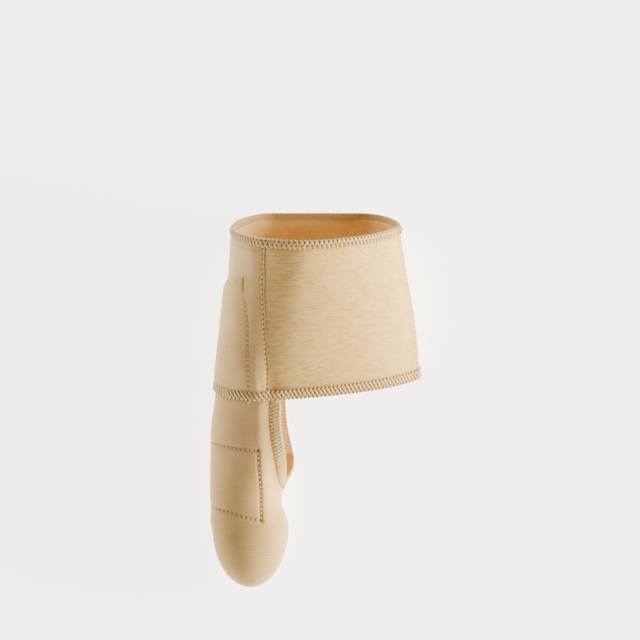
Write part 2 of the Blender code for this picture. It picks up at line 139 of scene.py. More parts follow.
def smooth(share):
    """Rises from 0 to 1, level at both ends."""
    share = np.clip(share, 0.0, 1.0)
    return share * share * (3.0 - 2.0 * share)


def unit(vectors):
    return vectors / np.linalg.norm(vectors, axis=-1, keepdims=True)


def evenly(count):
    """Shares from 0 to 1 at even steps."""
    return np.linspace(0.0, 1.0, count)


def abreast(*parts):
    """Arrays joined column after column."""
    return np.concatenate(parts, axis=1)


def last_sections():
    """Both tables in metres, as one array in order of rising y."""
    instep = np.array(INSTEP_ROWS) * INSTEP_SIZES
    toe = np.array(TOE_ROWS) * TOE_SIZES
    toe[:, 0] += instep[-1, 0]
    toe[:, 2:4] += toe[:, 1:2]
    return np.concatenate([instep, toe])[::-1]


SECTIONS = last_sections()
BALL_Y = SECTIONS[len(TOE_ROWS), 0]
CAP_Y = SECTIONS[0, 0]
TIP_Y = BALL_Y - TOE_LENGTH
CAP_LENGTH = CAP_Y - TIP_Y
CAP_RUN = CAP_LENGTH * math.pi / 2
WEB_Y = BALL_Y - WEB_DEPTH
STRAP_TOE_Y = TIP_Y + STRAP_FROM_TIP
STRAP_REAR_Y = STRAP_TOE_Y + STRAP_LENGTH


def section_at(y):
    """The section's measures at each y: a cubic through the rows that doesn't overshoot them."""
    rows_y, rows = SECTIONS[:, 0], SECTIONS[:, 1:]
    rises = np.diff(rows, axis=0) / np.diff(rows_y)[:, None]
    before, after = rises[:-1], rises[1:]
    same_way = before * after > 0
    total = np.where(same_way, before + after, 1.0)
    middle = np.where(same_way, 2.0 * before * after / total, 0.0)
    slopes = np.concatenate([np.zeros((1, rows.shape[1])), middle, rises[-1:]])
    index = np.clip(np.searchsorted(rows_y, y) - 1, 0, len(rows_y) - 2)
    span = (rows_y[index + 1] - rows_y[index])[:, None]
    share = np.clip((y - rows_y[index])[:, None] / span, 0.0, 1.0)
    lower, upper = rows[index], rows[index + 1]
    from_lower = share * (1.0 - share) ** 2 * span * slopes[index]
    from_upper = share**2 * (1.0 - share) * span * slopes[index + 1]
    values = lower + (upper - lower) * smooth(share) + from_lower - from_upper
    return {name: values[:, [column]] for column, name in enumerate(COLUMNS[1:])}


def outlines(s):
    """x and z from the side line to the far side line, over the instep and under the sole. Each is two
    quarter ellipses, x = a - b cos(t), z = c + d sin(t); the one beyond the ridge is a superellipse, and
    under the sole a flat joins them."""
    angle = np.linspace(0.0, np.pi / 2, QUARTER_STEPS)
    cos, sin = np.cos(angle), np.sin(angle)
    power = 2.0 / s["fall"]
    beyond_x = s["ridge"] + (s["lateral"] - s["ridge"]) * sin[1:] ** power
    beyond_z = s["z_l"] + (s["top"] - s["z_l"]) * cos[1:] ** power
    over_x = abreast(s["ridge"] - (s["ridge"] - s["medial"]) * cos, beyond_x)
    over_z = abreast(s["z_m"] + (s["top"] - s["z_m"]) * sin, beyond_z)
    under_x = abreast(s["medial"] + s["corner_m"] * (1 - cos), s["lateral"] - s["corner_l"] * (1 - sin))
    under_z = abreast(s["z_m"] * (1 - sin), s["z_l"] * (1 - cos))
    return (over_x, over_z), (under_x, under_z)


def even_points(outline, shares):
    """Each outline's x and z at even shares of its length, and those lengths."""
    x, z = outline
    steps = np.hypot(np.diff(x, axis=1), np.diff(z, axis=1))
    run = abreast(np.zeros((len(x), 1)), np.cumsum(steps, axis=1))
    girth = run[:, -1]
    px = np.stack([np.interp(shares * long, way, row) for long, way, row in zip(girth, run, x)])
    pz = np.stack([np.interp(shares * long, way, row) for long, way, row in zip(girth, run, z)])
    return px, pz, girth


def skin_tables():
    """The skin at even steps of turn and y, and the girths over the instep and under the sole. Ahead of
    CAP_Y the toe ends in half an ellipsoid, and y goes on as the way over it: each section shrinks to the
    toe's axis by the cosine of its angle."""
    y = np.arange(CAP_Y - POLE_SHARE * CAP_RUN, TABLE_END, TABLE_STEP)
    section = section_at(np.maximum(y, CAP_Y))
    over, under = outlines(section)
    shares = evenly(TURN_STEPS // 2 + 1)
    over_x, over_z, over_girth = even_points(over, shares)
    under_x, under_z, under_girth = even_points(under, shares)
    x = abreast(under_x[:, :0:-1], over_x)
    z = abreast(under_z[:, :0:-1], over_z)
    angle = np.clip((CAP_Y - y) / CAP_LENGTH, 0.0, np.pi / 2)[:, None]
    middle = (section["medial"] + section["lateral"]) / 2
    x = middle + (x - middle) * np.cos(angle)
    z = TIP_HEIGHT + (z - TIP_HEIGHT) * np.cos(angle)
    along = np.where(angle > 0, CAP_Y - CAP_LENGTH * np.sin(angle), y[:, None]) + np.zeros_like(x)
    return y, np.stack([x, along, z], axis=-1), over_girth, under_girth


TABLE_Y, SKIN, OVER_GIRTH, UNDER_GIRTH = skin_tables()
WRAPPED = abreast(SKIN[:, -2:-1], SKIN, SKIN[:, 1:2])
ROUND = (WRAPPED[:, 2:] - WRAPPED[:, :-2]) * TURN_STEPS / 4
ALONG = np.gradient(SKIN, axis=0) / TABLE_STEP
NORMAL = unit(np.cross(ROUND, ALONG))


def sample(table, turn, y):
    """Reads a table at any turn and y, straight between its four nearest entries."""
    turn, y = np.broadcast_arrays(turn, y)
    column = (turn + 1.0) % 2.0 * TURN_STEPS / 2
    row = np.clip((y - TABLE_Y[0]) / TABLE_STEP, 0.0, len(TABLE_Y) - 1.001)
    c, r = np.minimum(column.astype(int), TURN_STEPS - 1), row.astype(int)
    right, up = (column - c)[..., None], (row - r)[..., None]
    near = table[r, c] * (1 - right) + table[r, c + 1] * right
    far = table[r + 1, c] * (1 - right) + table[r + 1, c + 1] * right
    return near * (1 - up) + far * up


def skin(turn, y):
    return sample(SKIN, turn, y)


def outward(turn, y):
    """The skin's normal, pointing outwards."""
    return unit(sample(NORMAL, turn, y))


def lifted(turn, y, lift):
    """Points at a lift above the skin."""
    return skin(turn, y) + outward(turn, y) * np.asarray(lift)[..., None]


def over_girth(y):
    return np.interp(y, TABLE_Y, OVER_GIRTH)


def under_girth(y):
    return np.interp(y, TABLE_Y, UNDER_GIRTH)


def turn_at(reach, y):
    """The turn that lies at a reach from the side line."""
    return np.where(reach >= 0, reach / over_girth(y), reach / under_girth(y))


def reach_at(turn, y):
    """The reach of a turn from the side line."""
    return np.where(turn >= 0, turn * over_girth(y), turn * under_girth(y))


def fall(excess, ease=EASE):
    """1 up to a small margin past an edge, then down to 0 as cloth eases off it."""
    return 1.0 - smooth((excess - EDGE_MARGIN) / ease)


def strap_top_edge(y):
    narrowed = smooth((y - BALL_Y) / STRAP_TAPER)
    return STRAP_OVER_TOE + (STRAP_OVER_BAND - STRAP_OVER_TOE) * narrowed


def strap_thickness(y):
    """Thickness of the strap, which is skived at its toe end so that it doesn't press."""
    full = smooth((y - STRAP_TOE_Y) / STRAP_SKIVE)
    return STRAP_THICKNESS * (STRAP_END_SHARE + (1 - STRAP_END_SHARE) * full)


def strap_lift(turn, y):
    """Lift that the strap gives to the cloth over it."""
    turn, y = np.broadcast_arrays(turn, y)
    reach = reach_at(turn, y)
    ease = EASE + BAND_EASE * smooth((y - BALL_Y) / EASE_TAPER)
    across = fall(reach - strap_top_edge(y), ease) * fall(-STRAP_UNDER - reach)
    along = fall(y - STRAP_REAR_Y) * fall(STRAP_TOE_Y - y)
    return (strap_thickness(y) + LAYER_GAP) * across * along


def sleeve_top(turn, y):
    """Lift of the sleeve's outer face."""
    return strap_lift(turn, y) + SLEEVE_WALL


def panel_top(turn, y):
    """Lift of the second layer's outer face."""
    return strap_lift(turn, y) + BAND_WALL + LAYER_GAP + PANEL_WALL


def panel_cover(turn, y):
    """1 where the second layer lies, down to 0 past its long edges."""
    reach = reach_at(turn, y)
    return fall(reach - PANEL_OVER) * fall(-PANEL_UNDER - reach)


def off_lap(turn, y):
    """The way from the middle of the lapped seam, LAP_REACH short of the little-toe side's line."""
    return reach_at(np.abs(turn), y) - over_girth(y) + LAP_REACH


def lap_lift(turn, y):
    """Extra thickness of the band where its two ends lap."""
    return LAP_RISE * (turn >= 0) * (1.0 - smooth(2.0 * np.abs(off_lap(turn, y)) / LAP_WIDTH))


def band_edge(turn, middle, lean, skew):
    """y where a leaning plane, y = middle + skew x - lean z, cuts the skin."""
    y = np.full(np.shape(turn), middle)
    for _ in range(RIM_PASSES):
        point = skin(turn, y)
        y = middle + skew * point[..., 0] - lean * point[..., 2]
    return y


def cloth_per_y(turn, y):
    """Length of cloth along the last for each unit of y."""
    return np.linalg.norm(sample(ALONG, turn, y), axis=-1)


def behind_front(turn, depth):
    """y at a depth of cloth behind the band's front edge."""
    y = band_edge(turn, -BAND_HEIGHT / 2, FRONT_LEAN, FRONT_SKEW)
    return y + depth / cloth_per_y(turn, y)


def ahead_of_rear(turn, depth):
    """y at a depth of cloth ahead of the band's rear edge."""
    y = band_edge(turn, BAND_HEIGHT / 2, REAR_LEAN, 0.0)
    return y - depth / cloth_per_y(turn, y)


def band_rows(turn, count):
    """y of the band's rows at each turn, from hem to hem and a little way into each."""
    front = behind_front(turn, FRONT_HEM_WIDTH - INTO_HEM)
    rear = ahead_of_rear(turn, REAR_HEM_WIDTH - INTO_HEM)
    return front + (rear - front) * evenly(count)


# Half width, depth and painted shade of a line's groove and of its needle holes, and its fade at the ends
GROOVE = 0.75 * MM
GROOVE_DEPTH = 0.35 * MM
GROOVE_SHADE = 0.25
HOLE = 0.42 * MM
HOLE_DEPTH = 0.35 * MM
HOLE_SHADE = 0.9
LINE_FADE = 2 * MM
STITCH = 2.1 * MM
ROUND_STITCH = 1.9 * MM
LAP_STITCH = 2.3 * MM
# Way of the line, its places, the pitch of its stitches and how strongly it draws the cloth in
PANEL_LINES = (
    ("along", PANEL_SEAM, STITCH, 1.0),
    ("along", STRAP_SEAM, STITCH, 0.45),
)
SLEEVE_LINES = (
    ("along", BOX_SIDE, STITCH, 1.0),
    ("round", BOX_BACK, ROUND_STITCH, 0.7),
    ("round", BOX_FRONT, ROUND_STITCH, 0.7),
    ("along", BOX_UNDER, STITCH, 0.6),
)


def bell(off, half_width):
    """exp(-(d / w)^2): 1 on a line, and nearly 0 at twice its half width."""
    return np.exp(-((off / half_width) ** 2))


def needle_holes(way, pitch):
    """1 at each needle hole along a line and 0 between them: the peaks of a cosine."""
    return np.clip(np.cos(2 * np.pi * way / pitch), 0.0, 1.0)


def stitch_marks(reach, y, lines):
    """How far stitches draw the cloth in, and how much painted shade lies in their grooves and needle holes:
    a bell across each line, with deeper holes along it."""
    sink, shade = np.zeros(reach.shape), np.zeros(reach.shape)
    for way, places, pitch, strength in lines:
        along, across = (y, reach) if way == "along" else (reach, y)
        start, middle = np.array(places).T * MM
        off = across - np.interp(along, start, middle)
        inside = smooth((along - start[0]) / LINE_FADE + 1) * smooth((start[-1] - along) / LINE_FADE + 1)
        groove = strength * inside * bell(off, GROOVE)
        hole = strength * inside * bell(off, HOLE) * needle_holes(along, pitch)
        sink += GROOVE_DEPTH * groove + HOLE_DEPTH * hole
        shade = np.maximum(shade, np.clip(GROOVE_SHADE * groove + HOLE_SHADE * hole, 0.0, 1.0))
    return sink, shade


def grid_faces(stations, corners, closed=False, ringed=True):
    """Four-sided faces between the corners of neighbouring stations."""
    station = np.arange(stations if closed else stations - 1)[:, None]
    corner = np.arange(corners if ringed else corners - 1)[None, :]
    here, there = station * corners, (station + 1) % stations * corners
    following = (corner + 1) % corners
    quads = [here + corner, there + corner, there + following, here + following]
    return np.stack(quads, axis=-1).reshape(-1, 4)


def piece(name, points, faces, material, cloth=None, marks=None, weld=False):
    """A mesh with its material. cloth is each vertex's place on the flat cloth in millimetres, and marks its
    crinkle, its rib and the painted shade at its stitches, creases and slit."""
    mesh = bpy.data.meshes.new(name)
    mesh.from_pydata(points.reshape(-1, 3).tolist(), [], faces.tolist())
    for title, values in (("cloth", cloth), ("marks", marks)):
        if values is not None:
            layer = mesh.attributes.new(title, "FLOAT_VECTOR", "POINT")
            layer.data.foreach_set("vector", values.astype(np.float32).ravel())
    shape = bmesh.new()
    shape.from_mesh(mesh)
    if weld:
        bmesh.ops.remove_doubles(shape, verts=shape.verts, dist=1e-7)
    bmesh.ops.recalc_face_normals(shape, faces=shape.faces)
    shape.to_mesh(mesh)
    shape.free()
    mesh.shade_smooth()
    mesh.materials.append(material)
    made = bpy.data.objects.new(name, mesh)
    bpy.context.scene.collection.objects.link(made)
    return made


def walls(outer, inner):
    """Sections that run out along outer and back along inner."""
    return abreast(outer, inner[:, ::-1])


def strip_faces(stations, corners):
    """Faces of an open wall, with a ladder that closes each of its ends."""
    rung = np.arange(corners // 2 - 1)
    ladder = np.stack([rung, rung + 1, corners - 2 - rung, corners - 1 - rung], axis=-1)
    sides = grid_faces(stations, corners)
    return np.concatenate([sides, ladder, ladder + (stations - 1) * corners])


# Millimetres of cloth along the last for each of y, and the layer that sets an inner face's pattern apart
CLOTH_PER_Y = 1.1
INNER_LAYER = 9.0


def cloth_places(turn, y, layer=0.0):
    """Places on the flat cloth in millimetres: the reach, y, and which side of the cloth it is."""
    turn, y = np.broadcast_arrays(turn, y)
    return np.stack([reach_at(turn, y) / MM, y * CLOTH_PER_Y / MM, np.full(y.shape, layer)], axis=-1)


def cloth_marks(y, crinkle=0.0, rib=0.0, painted_shade=0.0):
    """Crinkle, rib and painted shade for each place of a grid like y."""
    level = np.zeros(y.shape)
    return np.stack([level + crinkle, level + rib, level + painted_shade], axis=-1)


BAND_STATIONS = 420
BAND_ROWS = 150
BAND_INNER_ROWS = 40
# Painted shade at the lapped seam's needle holes; then the crease beside each hem: its width, its depth and
# the painted shade in it
LAP_HOLE_SHADE = 0.7
CREASE_WIDTH = 0.8 * MM
CREASE_DEPTH = 0.35 * MM
CREASE_SHADE = 0.3
# The band's crinkles fade out at this reach under the sole, over this way on either side of it.
CRINKLE_REACH = 18 * MM
CRINKLE_FADE = 8 * MM
INNER_CRINKLE = 0.5


def edge_crease(way):
    """How much of a crease the cloth has, by the way from the stitching that gathers its edge."""
    return np.exp(-np.maximum(way, 0.0) / CREASE_WIDTH)


def from_rear(turn, y):
    """The way along the cloth to the band's rear hem."""
    return (ahead_of_rear(turn, REAR_HEM_WIDTH) - y) * cloth_per_y(turn, y)


def hem_crease(turn, y):
    """How much of a crease there is beside the nearer of the band's two hems."""
    from_front = (y - behind_front(turn, FRONT_HEM_WIDTH)) * cloth_per_y(turn, y)
    return edge_crease(np.minimum(from_front, from_rear(turn, y)))


def midfoot_band(material):
    """The wide band. Its lift is the strap's relief, its wall and its lapped seam, less a stitched groove
    along the lap and a crease beside each hem."""
    turn = (np.arange(BAND_STATIONS) / BAND_STATIONS * 2.0 - 1.0)[:, None]
    y = band_rows(turn, BAND_ROWS)
    inner_y = band_rows(turn, BAND_INNER_ROWS)
    groove = (turn >= 0) * bell(off_lap(turn, y), GROOVE)
    hole = groove * needle_holes(y, LAP_STITCH)
    crease = hem_crease(turn, y)
    sink = GROOVE_DEPTH * groove + HOLE_DEPTH * hole + CREASE_DEPTH * crease
    outer = lifted(turn, y, strap_lift(turn, y) + BAND_WALL + lap_lift(turn, y) - sink)
    points = walls(outer, lifted(turn, inner_y, strap_lift(turn, inner_y)))
    cloth = walls(cloth_places(turn, y), cloth_places(turn, inner_y, INNER_LAYER))
    reach = reach_at(turn, y)
    over, under = (reach + CRINKLE_REACH) / CRINKLE_FADE, (-CRINKLE_REACH - reach) / CRINKLE_FADE
    crinkle = np.minimum(smooth(over) + smooth(under), 1.0)
    # Painted shade in the lap's groove and needle holes and in the creases beside the hems
    shade = np.clip(GROOVE_SHADE * groove + LAP_HOLE_SHADE * hole + CREASE_SHADE * crease, 0.0, 1.0)
    marks = walls(cloth_marks(y, crinkle, painted_shade=shade), cloth_marks(inner_y, INNER_CRINKLE))
    faces = grid_faces(*points.shape[:2], closed=True)
    return piece("band_knit", points, faces, material, cloth, marks)


PANEL_ROWS = 210
PANEL_MARGIN = 1.1 * MM
PANEL_FIXED = 20 * MM
SEAM_MIDDLE = 34.9 * MM
PANEL_COLUMN = 0.8 * MM
PANEL_FINE_FROM = 26 * MM
PANEL_FINE_COLUMN = 0.24 * MM
# How far its inner face lies off the band, and the share of its height that its pressed edges keep: level
# over the first way and rising over the second
PANEL_SEAT = 0.1 * MM
PANEL_EDGE_SHARE = 0.15
PANEL_LEVEL = 0.3 * MM
PANEL_SLOPE = 6 * MM
# Its crinkle, and the way over which it grows past the seam to that of the band
PANEL_CRINKLE = 0.35
PANEL_CRINKLE_FADE = 1.0 * MM
# The row of stitches beside the rear hem: its way from the hem and past the seam, how strong its groove is,
# # and the painted shade of its groove and of its holes
PANEL_ROW = 1.9 * MM
ROW_PAST = 2 * MM
ROW_STRENGTH = 0.6
ROW_SHADE = 0.15
ROW_HOLE_SHADE = 0.35
# The slit beside the strap's end: its width, its depth, its fade at the ends and the painted shade in it
SLIT_WIDTH = 0.3 * MM
SLIT_DEPTH = 0.35 * MM
SLIT_FADE = 1.5 * MM
SLIT_SHADE = 0.55


def panel_columns():
    """Nominal reaches of the second layer's columns, close together at its two lines of stitches."""
    coarse = np.arange(-PANEL_UNDER, PANEL_FINE_FROM - PANEL_COLUMN / 4, PANEL_COLUMN)
    fine = np.arange(PANEL_FINE_FROM, SEAM_MIDDLE + PANEL_MARGIN, PANEL_FINE_COLUMN)
    return np.concatenate([coarse, fine, [SEAM_MIDDLE + PANEL_MARGIN]])


def panel_reach(nominal, y):
    """Real reaches: past PANEL_FIXED the columns stretch with the seam, which leans."""
    seam_y, seam_reach = np.array(PANEL_SEAM).T * MM
    stretch = (np.interp(y, seam_y, seam_reach) - PANEL_FIXED) / (SEAM_MIDDLE - PANEL_FIXED)
    return np.where(nominal > PANEL_FIXED, PANEL_FIXED + (nominal - PANEL_FIXED) * stretch, nominal)


def panel_places():
    """Nominal reach, real reach, turn and y over the second layer's grid, in a few passes because its columns
    lean with the seam."""
    nominal = panel_columns()[:, None]
    turn = turn_at(nominal, BALL_Y)
    for _ in range(EDGE_PASSES):
        y = band_rows(turn, PANEL_ROWS)
        turn = turn_at(panel_reach(nominal, y), y)
    return nominal, panel_reach(nominal, y), turn, y


def panel_wall(nominal):
    """Height of the second layer above its seat, pressed thin along its long edges."""
    from_edge = np.minimum(nominal + PANEL_UNDER, SEAM_MIDDLE + PANEL_MARGIN - nominal)
    risen = smooth((from_edge - PANEL_LEVEL) / PANEL_SLOPE)
    share = PANEL_EDGE_SHARE + (1 - PANEL_EDGE_SHARE) * risen
    return (LAYER_GAP + PANEL_WALL - PANEL_SEAT) * share


def slit_share(reach, y):
    """How far into the short slit beside the strap's end a place lies, from 0 to 1."""
    slit_y, slit_reach = np.array(SLIT).T * MM
    ends = smooth((y - slit_y[0]) / SLIT_FADE) * smooth((slit_y[1] - y) / SLIT_FADE)
    return bell(reach - np.interp(y, slit_y, slit_reach), SLIT_WIDTH) * ends


def pocket_panel(material):
    """The second layer on the big-toe side, sewn down along the instep. Its lift is the band's and its own
    wall, less the lines of stitches, the slit, the row beside the rear hem and the creases at both hems."""
    nominal, reach, turn, y = panel_places()
    base = strap_lift(turn, y) + BAND_WALL + PANEL_SEAT
    sink, shade = stitch_marks(reach, y, PANEL_LINES)
    slit = slit_share(reach, y)
    crease = hem_crease(turn, y)
    row = (reach < SEAM_MIDDLE + ROW_PAST) * bell(from_rear(turn, y) - PANEL_ROW, GROOVE)
    row_hole = row**2 * needle_holes(reach, LAP_STITCH)
    sink = sink + CREASE_DEPTH * crease + ROW_STRENGTH * GROOVE_DEPTH * row + SLIT_DEPTH * slit
    outer = lifted(turn, y, base + np.maximum(panel_wall(nominal) - sink, PANEL_SEAT))
    points = walls(outer, lifted(turn, y, base))
    past_seam = smooth((nominal - SEAM_MIDDLE) / PANEL_CRINKLE_FADE)
    crinkle = PANEL_CRINKLE + (1 - PANEL_CRINKLE) * past_seam
    # Painted shade at the stitches, in the slit, in the creases beside the hems and along the row beside the
    # rear hem
    shade = shade + SLIT_SHADE * slit + CREASE_SHADE * crease + ROW_SHADE * row + ROW_HOLE_SHADE * row_hole
    marks = cloth_marks(y, crinkle, painted_shade=np.clip(shade, 0.0, 1.0))
    places = cloth_places(turn, y)
    faces = strip_faces(*points.shape[:2])
    return piece("panel_knit", points, faces, material, walls(places, places), walls(marks, marks))


STRAP_COLUMNS = 40
STRAP_ROWS = 200
# The share of its thickness that its edges keep, and how many thicknesses from them it is full
STRAP_EDGE_SHARE = 0.4
STRAP_EDGE_WALLS = 3


def pull_strap(material):
    """The woven strap, seen from inside the band: its thickness above the skin, thinner at its edges."""
    share = evenly(STRAP_COLUMNS)[:, None]
    y = STRAP_TOE_Y + STRAP_LENGTH * evenly(STRAP_ROWS)[None, :]
    width = strap_top_edge(y) + STRAP_UNDER
    turn = turn_at(-STRAP_UNDER + width * share, y)
    risen = smooth(np.minimum(share, 1 - share) * width / (STRAP_EDGE_WALLS * STRAP_THICKNESS))
    thickness = strap_thickness(y) * (STRAP_EDGE_SHARE + (1 - STRAP_EDGE_SHARE) * risen)
    points = walls(lifted(turn, y, thickness), skin(turn, y))
    places = cloth_places(turn, y)
    return piece("strap_webbing", points, strip_faces(*points.shape[:2]), material, walls(places, places))


SLEEVE_UNDER_COLUMNS = 80
SLEEVE_OVER_COLUMNS = 170
LEG_ROWS = 84
TUBE_ROWS = 50
CAP_ROWS = 74
INNER_TUBE_ROWS = 6
INNER_CAP_ROWS = 16
# The crease beside the opening's hem fades out over this way behind the web.
MOUTH_CREASE_FADE = 4 * MM
# Painted shade in the creases beside the opening's hem and beside the band
MOUTH_CREASE_SHADE = 0.35
SLEEVE_CRINKLE = 0.28
SLEEVE_INNER_CRINKLE = 0.3
# How far ahead of the ball the knit's ribs begin to show, and over what way
RIB_AHEAD = 48 * MM
RIB_FADE = 10 * MM


def corner_way(share):
    """How far along a quarter superellipse has come, at even steps of its angle."""
    angle = share * np.pi / 2
    sin, cos = np.sin(angle), np.cos(angle)
    return sin / (sin**MOUTH_SQUARENESS + cos**MOUTH_SQUARENESS) ** (1 / MOUTH_SQUARENESS)


def sleeve_place(across, along):
    """turn and y on the open part of the sleeve. across goes from -1, its edge under the sole, to 1, its edge
    over the instep. along goes from 0, at the band, to 1, at the web, where the edges turn in and meet."""
    edge_reach = np.where(across >= 0, MOUTH_OVER, -MOUTH_UNDER)
    hem_y = np.full(across.shape, BALL_Y)
    for _ in range(EDGE_PASSES):
        hem_y = behind_front(np.abs(across) * turn_at(edge_reach, hem_y), -GAP)
    forward = along + (corner_way(along) - along) * across**2
    sideways = 1.0 - (1.0 - forward**MOUTH_SQUARENESS) ** (1 / MOUTH_SQUARENESS)
    y = hem_y + (WEB_Y - hem_y) * forward
    edge_turn = turn_at(edge_reach, y)
    web_turn = np.where(across >= 0, 1.0, -1.0)
    return np.abs(across) * (edge_turn + (web_turn - edge_turn) * sideways), y


def closed_rows(tube_rows, cap_rows):
    """y of the rows beyond the web, the last one at the tip."""
    tube = np.linspace(WEB_Y, CAP_Y, tube_rows + 1)[1:]
    cap = CAP_Y - POLE_SHARE * CAP_RUN * evenly(cap_rows + 1)[1:]
    return np.concatenate([tube, cap])


def sleeve_sheet(across, tube_rows, cap_rows):
    """turn and y of one face of the sleeve, a column for each across."""
    open_turn, open_y = sleeve_place(across, evenly(LEG_ROWS + 1)[None, :])
    closed_y = closed_rows(tube_rows, cap_rows)
    turn = abreast(open_turn, np.repeat(across, len(closed_y), axis=1))
    return turn, abreast(open_y, np.tile(closed_y, (len(across), 1)))


def sleeve_columns():
    """Places across the sleeve, from its edge under the sole to its edge over the instep."""
    under = np.linspace(-1.0, 0.0, SLEEVE_UNDER_COLUMNS)
    over = evenly(SLEEVE_OVER_COLUMNS)[1:]
    return np.concatenate([under, over])[:, None]


def sleeve_crease(across, y):
    """How much of a crease there is beside the opening's hem and beside the band."""
    at_mouth = edge_crease((1.0 - np.abs(across)) * MOUTH_OVER) * smooth((y - WEB_Y) / MOUTH_CREASE_FADE)
    return np.minimum(at_mouth + edge_crease(y[:, :1] - y), 1.0)


def sleeve_faces(stations, corners, outer_rows):
    """Faces of both walls, joined at the tip and closed along the opening's two edges."""
    rung = np.arange(LEG_ROWS)
    out, back = outer_rows - 1 - rung, outer_rows + rung
    rim = np.stack([out, out - 1, back + 1, back], axis=-1)
    sides = grid_faces(stations, corners, ringed=False)
    return np.concatenate([sides, rim, rim + (stations - 1) * corners])


def toe_sleeve(material):
    """The sleeve: free edges as far as the web, joined beyond it, and a closed tip."""
    across = sleeve_columns()
    turn, y = sleeve_sheet(across, TUBE_ROWS, CAP_ROWS)
    inner_turn, inner_y = sleeve_sheet(across, INNER_TUBE_ROWS, INNER_CAP_ROWS)
    sink, shade = stitch_marks(reach_at(turn, y), y, SLEEVE_LINES)
    crease = sleeve_crease(across, y)
    outer = lifted(turn, y, sleeve_top(turn, y) - sink - CREASE_DEPTH * crease)
    inner = lifted(inner_turn, inner_y, strap_lift(inner_turn, inner_y))
    outer[:, -1] = outer[:, -1].mean(axis=0)
    inner[:, -1] = inner[:, -1].mean(axis=0)
    points = abreast(outer[:, ::-1], inner)
    rib = smooth((BALL_Y - RIB_AHEAD - y) / RIB_FADE)
    # Painted shade at the toe box's stitches and in the creases
    marks = cloth_marks(y, SLEEVE_CRINKLE, rib, np.clip(shade + MOUTH_CREASE_SHADE * crease, 0.0, 1.0))
    marks = abreast(marks[:, ::-1], cloth_marks(inner_y, SLEEVE_INNER_CRINKLE))
    cloth = abreast(cloth_places(turn, y)[:, ::-1], cloth_places(inner_turn, inner_y, INNER_LAYER))
    faces = sleeve_faces(*points.shape[:2], outer.shape[1])
    return piece("sleeve_knit", points, faces, material, cloth, marks, weld=True)


HEM_CORNERS = 24
HEM_STATIONS = 700
RUN_STATIONS = 2000
SECTION_STEPS = 1441
HEM_ASPECT = 2.2
# Shares of a hem's thickness that its pressed core leaves off at each face, and of its width that it keeps
HEM_SINK = 0.12
HEM_FIT = 0.94
MOUTH_SINK = 0.06
MOUTH_FIT = 0.96


def section_table():
    """The superellipse of a hem's section, |x|^p + |y|^p = 1, by even steps of the way round it."""
    angle = np.linspace(0.0, 2 * np.pi, SECTION_STEPS)
    circle = np.stack([np.cos(angle), np.sin(angle)])
    across, height = np.sign(circle) * np.abs(circle) ** HEM_SQUARENESS
    run = np.concatenate([[0.0], np.cumsum(np.hypot(HEM_ASPECT * np.diff(across), np.diff(height)))])
    return run / run[-1], (1 + across) / 2, (1 + height) / 2


SECTION_RUN, SECTION_ACROSS, SECTION_HEIGHT = section_table()


def hem_corner(share):
    """Share of the way across a hem's section and of its thickness, by the share of the way round: 0 is where
    it meets the cloth, 0.25 the middle of its outer face, and 0.5 its free edge."""
    return np.interp(share, SECTION_RUN, SECTION_ACROSS), np.interp(share, SECTION_RUN, SECTION_HEIGHT)


def hem_rise(turn, y):
    """How far a hem stands above the wall beside it: not at all under the sole, which stays flat."""
    facing_down = -outward(turn, y)[..., 2]
    return HEM_RISE * (1.0 - smooth((facing_down - RISE_FACING) / RISE_TURN))


def band_hem_points(place, width, turn, across, height):
    """Points of a hem round the band."""
    y = place(turn, width * across)
    middle = place(turn, width / 2)
    cover = panel_cover(turn, middle)
    layers = BAND_WALL + cover * (LAYER_GAP + PANEL_WALL)
    thickness = layers + lap_lift(turn, middle) + (1.0 - cover) * hem_rise(turn, middle)
    return lifted(turn, y, strap_lift(turn, middle) + thickness * height)


def way_along(path):
    """The way along a path of points, from its first one."""
    return np.concatenate([[0.0], np.cumsum(np.linalg.norm(np.diff(path, axis=0), axis=1))])


def core_points(hem_points, stations, sink, fit):
    """Points of a hem's pressed core at those places along it."""
    across, height = hem_corner(np.arange(HEM_CORNERS)[None, :] / HEM_CORNERS)
    return hem_points(stations[:, None], 0.5 + (across - 0.5) * fit, sink + height * (1 - 2 * sink))


THREAD_SIDES = 8
THREAD_POINTS = 12
# The ends of a thread round off as 1 - |x|^6, down to this share of its section.
BLUNTNESS = 6
END_SHARE = 0.0008
# How far along a thread's side is read, in pitches, and how much wider a wholly pressed thread is
WIDTH_STEP = 0.3
PRESSED_WIDER = 0.4
# The share of its height that a pressed thread keeps, and the turns from which, and over which, it is full
PRESSED = 0.35
FULL_OVER_FROM = 0.12
FULL_UNDER_FROM = 0.8
FULL_FADE = 0.2


def tubes(centres, beside, half_width, half_height):
    """Threads along many paths at once. centres is threads by points by 3, and beside the way that each
    thread is wide in. Each section is an ellipse, c + a cos(t) u + b sin(t) v, that closes at both ends."""
    tangent = unit(np.gradient(centres, axis=1))
    wide = unit(beside - (beside * tangent).sum(-1, keepdims=True) * tangent)
    tall = np.cross(tangent, wide)
    angle = np.arange(THREAD_SIDES)[:, None] * 2 * np.pi / THREAD_SIDES
    across = half_width * np.cos(angle) * wide[..., None, :]
    up = half_height * np.sin(angle) * tall[..., None, :]
    share = evenly(centres.shape[1])[None, :, None, None]
    taper = np.sqrt(np.clip(1.0 - np.abs(2 * share - 1.0) ** BLUNTNESS, END_SHARE, 1.0))
    points = centres[..., None, :] + (across + up) * taper
    threads, steps = centres.shape[:2]
    faces = grid_faces(steps, THREAD_SIDES)
    every = (np.arange(threads) * steps * THREAD_SIDES)[:, None, None] + faces[None]
    return points.reshape(-1, 3), every.reshape(-1, 4)


def thread_piece(name, made, material):
    """One piece from several sets of tubes."""
    starts = np.cumsum([0, *[len(points) for points, _ in made[:-1]]])
    points = np.concatenate([points for points, _ in made])
    faces = np.concatenate([quads + start for (_, quads), start in zip(made, starts)])
    return piece(name, points, faces, material)


